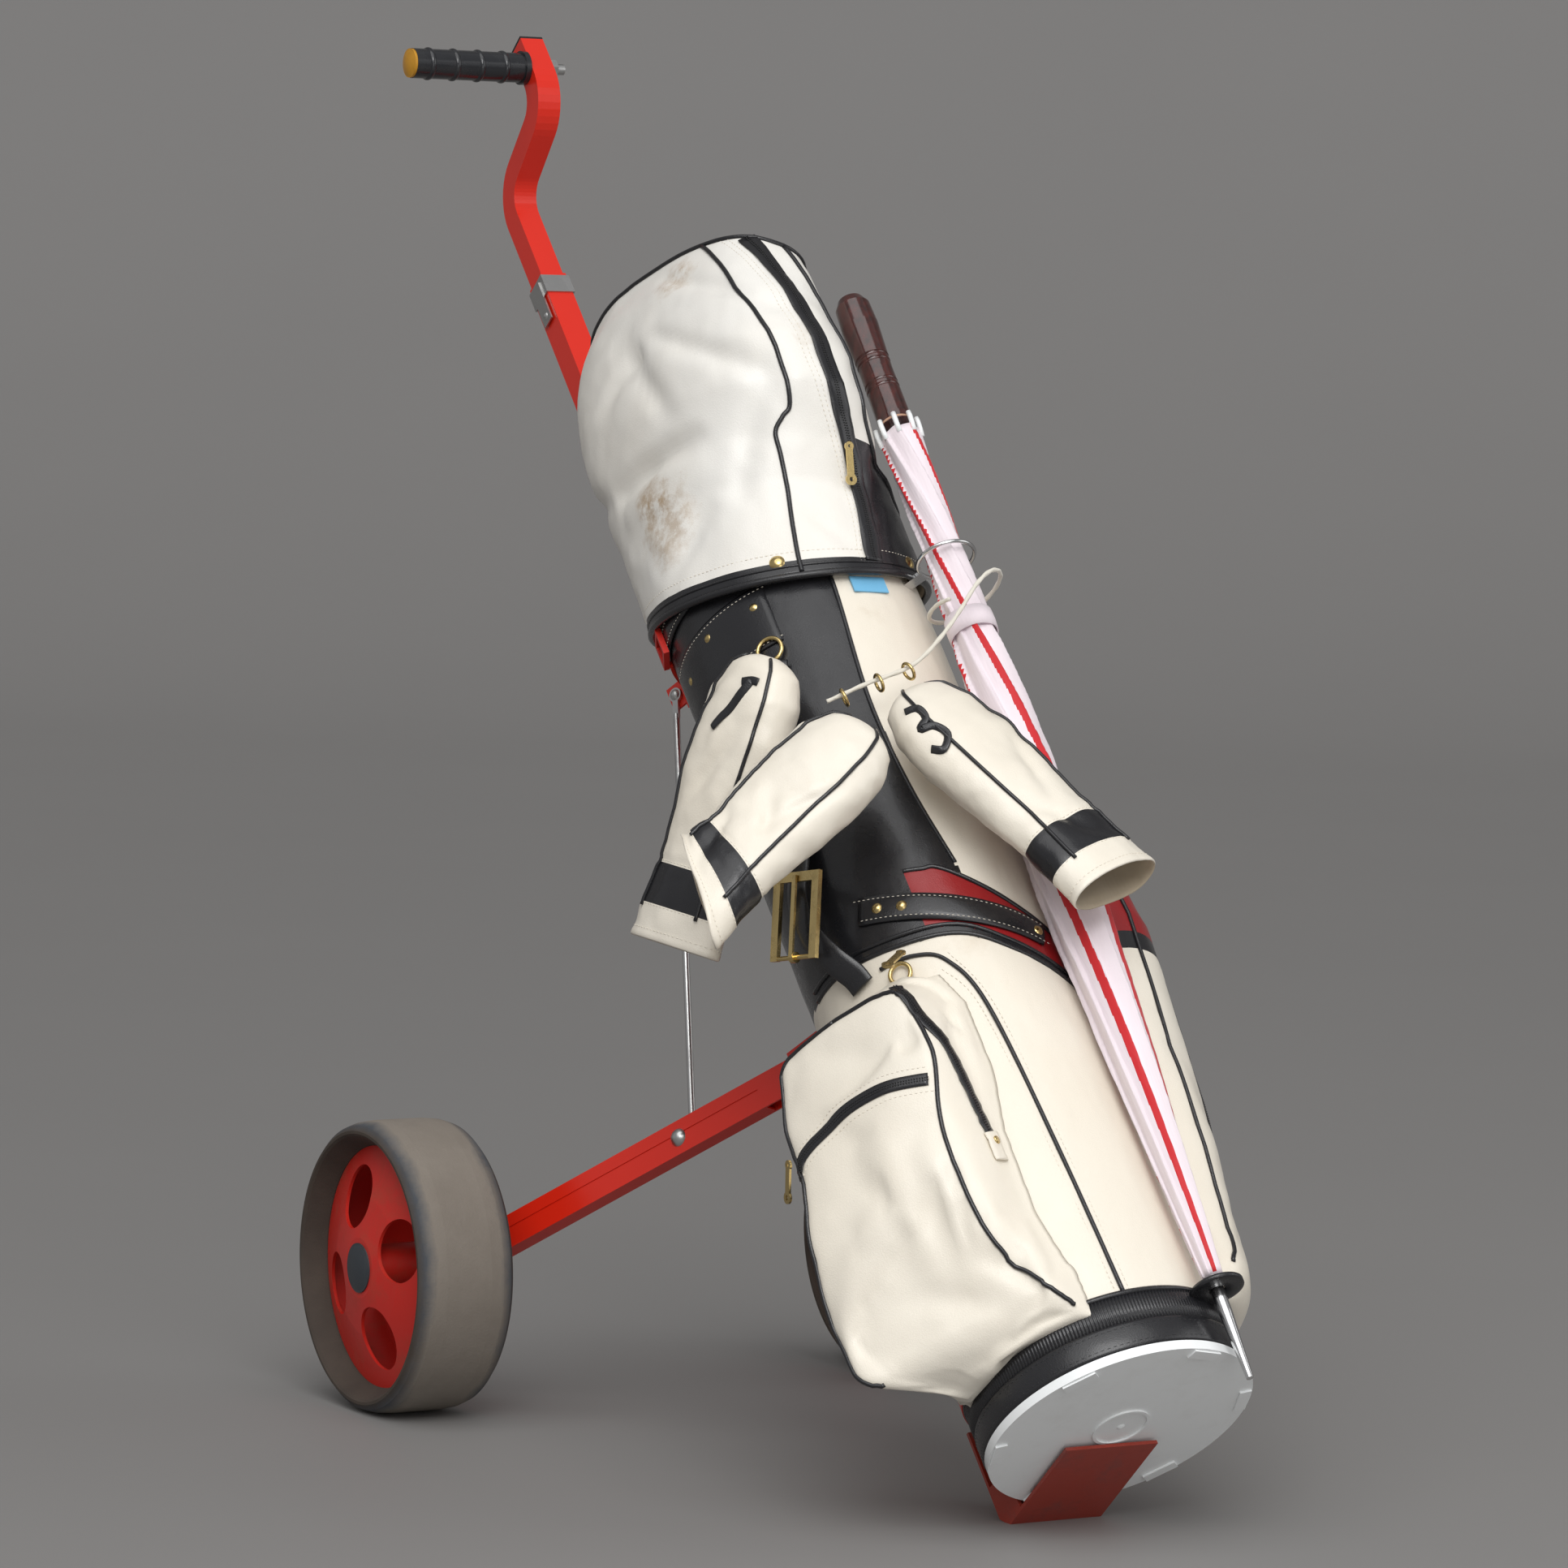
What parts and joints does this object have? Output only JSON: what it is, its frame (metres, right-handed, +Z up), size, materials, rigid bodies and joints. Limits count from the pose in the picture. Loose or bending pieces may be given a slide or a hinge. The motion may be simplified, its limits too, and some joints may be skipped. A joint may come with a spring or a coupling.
{
  "type": "golf bag on push cart",
  "caption": "Cream and black vinyl golf bag with hood, pockets, head covers and furled umbrella, strapped to a red two-wheeled pull cart with folding legs and telescoping handle.",
  "frame": {"origin": "on the ground under the middle of the whole cart", "axes": "+X to the right of someone pulling the cart, +Y back towards the handle and wheels, +Z up"},
  "size_m": [0.6074, 1.1867, 1.2086],
  "materials": {
    "red_paint": "glossy enamel, lightly scratched",
    "worn_red_paint": "enamel worn and dirty at the edges",
    "zinc_steel": "bright plated, slightly dulled",
    "black_plastic": "moulded",
    "grip_rubber": "moulded, semi-gloss",
    "ochre_plastic": "moulded",
    "red_plastic": "moulded, semi-gloss, dusty at the rim",
    "tyre_rubber": "dusty worn tread, blue-grey shoulders",
    "grey_plastic": "moulded",
    "black_vinyl": "glossy coated vinyl, fine grain",
    "cream_vinyl": "coated vinyl, fine grain, faint stains",
    "white_plastic": "milky moulded plastic",
    "brass": "polished, slightly tarnished",
    "blue_label": "plain woven label",
    "chrome": "polished",
    "canopy_cloth": "thin nylon, pale with red bands",
    "dark_wood": "turned, dark stain, gloss varnish",
    "white_string": "twisted cord"
  },
  "bodies": {
    "cart_frame": {"main_tube": "red_paint", "foot_bracket": "worn_red_paint", "lower_cradle": "red_paint", "upper_cradle": "red_paint", "hub_bracket": "red_paint", "frame_bolts": "zinc_steel", "tube_clip": "zinc_steel", "upper_strap": "black_vinyl", "upper_strap_buckle": "red_plastic", "bag_body": "cream_vinyl", "base_cup": "white_plastic", "base_collar": "black_vinyl", "mouth_ring": "black_vinyl", "ball_pocket": "cream_vinyl", "garment_pocket": "cream_vinyl", "carry_belt": "black_vinyl", "shoulder_strap": "black_vinyl", "shoulder_buckle": "brass", "bag_tag": "blue_label", "bag_rivets": "brass", "bag_rings": "brass", "umbrella_ring": "chrome", "umbrella_boot": "black_vinyl", "cover_rings": "brass", "cover_string": "white_string"},
    "slider": {"slider_collar": "red_paint"},
    "handle": {"handle_tube": "red_paint", "tube_end_cap": "black_plastic", "handle_grip": "grip_rubber", "grip_end_cap": "ochre_plastic", "grip_bolt": "zinc_steel"},
    "umbrella": {"umbrella_canopy": "canopy_cloth", "umbrella_shaft": "chrome", "umbrella_handle": "dark_wood", "umbrella_tie": "canopy_cloth"},
    "hood": {"hood": "cream_vinyl", "hood_snaps": "brass"},
    "hood_pull": {"hood_zip_pull": "brass"},
    "ball_pull": {"ball_zip_pull": "brass"},
    "gusset_pull": {"gusset_zip_pull": "brass"},
    "prong": {"buckle_prong": "brass"},
    "cover_1": {"headcover_1": "cream_vinyl"},
    "cover_2": {"headcover_2": "cream_vinyl"},
    "cover_3": {"headcover_3": "cream_vinyl"},
    "leg_left": {"leg_left": "red_paint", "leg_bolts_left": "zinc_steel", "axle_bracket_left": "red_paint", "axle_left": "zinc_steel"},
    "rod_left": {"rod_left": "zinc_steel"},
    "wheel_left": {"rim_left": "red_plastic", "tyre_left": "tyre_rubber", "hub_cap_left": "grey_plastic"},
    "leg_right": {"leg_right": "red_paint", "leg_bolts_right": "zinc_steel", "axle_bracket_right": "red_paint", "axle_right": "zinc_steel"},
    "rod_right": {"rod_right": "zinc_steel"},
    "wheel_right": {"rim_right": "red_plastic", "tyre_right": "tyre_rubber", "hub_cap_right": "grey_plastic"}
  },
  "joints": [
    {"name": "leg_left_fold", "type": "hinge", "parent": "cart_frame", "child": "leg_left", "pos_m": [-0.0317, -0.04146, 0.32237], "axis": [-0.9063, -0.314, 0.2828], "range_deg": [0, 60]},
    {"name": "leg_right_fold", "type": "hinge", "parent": "cart_frame", "child": "leg_right", "pos_m": [0.0317, -0.04146, 0.32237], "axis": [-0.9063, 0.314, -0.2828], "range_deg": [0, 60]},
    {"name": "rod_left_swing", "type": "hinge", "parent": "leg_left", "child": "rod_left", "pos_m": [-0.09061, 0.06655, 0.25349], "axis": [-0.9063, -0.314, 0.2828], "range_deg": [-52.7, 0]},
    {"name": "rod_right_swing", "type": "hinge", "parent": "leg_right", "child": "rod_right", "pos_m": [0.09061, 0.06655, 0.25349], "axis": [-0.9063, 0.314, -0.2828], "range_deg": [-52.7, 0]},
    {"name": "slider_slide", "type": "slide", "parent": "cart_frame", "child": "slider", "axis": [0, -0.6691, -0.7431], "range_m": [0, 0.1161]},
    {"name": "wheel_left_spin", "type": "hinge", "parent": "leg_left", "child": "wheel_left", "pos_m": [-0.256, 0.26491, 0.127], "axis": [1, 0, 0], "continuous": true},
    {"name": "wheel_right_spin", "type": "hinge", "parent": "leg_right", "child": "wheel_right", "pos_m": [0.256, 0.26491, 0.127], "axis": [1, 0, 0], "continuous": true},
    {"name": "handle_slide", "type": "slide", "parent": "cart_frame", "child": "handle", "axis": [0, 0.6691, 0.7431], "range_m": [-0.055, 0.12]},
    {"name": "umbrella_slide", "type": "slide", "parent": "cart_frame", "child": "umbrella", "axis": [0.033, 0.6515, 0.7579], "range_m": [0, 0.058]},
    {"name": "hood_lift", "type": "slide", "parent": "cart_frame", "child": "hood", "axis": [0, 0.6691, 0.7431], "range_m": [0, 0.22]},
    {"name": "hood_pull_swing", "type": "hinge", "parent": "hood", "child": "hood_pull", "pos_m": [0.014, -0.00824, 0.8466], "axis": [-1, 0, 0], "range_deg": [0, 70]},
    {"name": "ball_pull_swing", "type": "hinge", "parent": "cart_frame", "child": "ball_pull", "pos_m": [-0.205, -0.31371, 0.28466], "axis": [0, 1, 0.0006], "range_deg": [0, 60]},
    {"name": "gusset_pull_swing", "type": "hinge", "parent": "cart_frame", "child": "gusset_pull", "pos_m": [-0.102, -0.30676, 0.4493], "axis": [-0.5858, 0.8065, 0.0801], "range_deg": [0, 40]},
    {"name": "cover_1_lift", "type": "hinge", "parent": "cart_frame", "child": "cover_1", "pos_m": [-0.114, -0.10543, 0.6744], "axis": [-0.2122, 0.9692, 0.125], "range_deg": [0, 12]},
    {"name": "cover_2_lift", "type": "hinge", "parent": "cart_frame", "child": "cover_2", "pos_m": [-0.09, -0.2266, 0.62203], "axis": [-0.3548, 0.8575, 0.3725], "range_deg": [0, 18]},
    {"name": "cover_3_lift", "type": "hinge", "parent": "cart_frame", "child": "cover_3", "pos_m": [-0.029, -0.18541, 0.64684], "axis": [-0.9394, -0.2904, -0.1821], "range_deg": [0, 25]},
    {"name": "prong_swing", "type": "hinge", "parent": "cart_frame", "child": "prong", "pos_m": [-0.14058, -0.20325, 0.43665], "axis": [0.2195, -0.9633, 0.1543], "range_deg": [0, 55]}
  ],
  "couplings": [
    {"joint": "leg_right_fold", "follows": "leg_left_fold", "ratio": 1},
    {"joint": "rod_left_swing", "follows": "leg_left_fold", "ratio": -0.87441},
    {"joint": "rod_right_swing", "follows": "leg_left_fold", "ratio": -0.87441},
    {"joint": "slider_slide", "follows": "leg_left_fold", "m_per_rad": 0.11035}
  ]
}
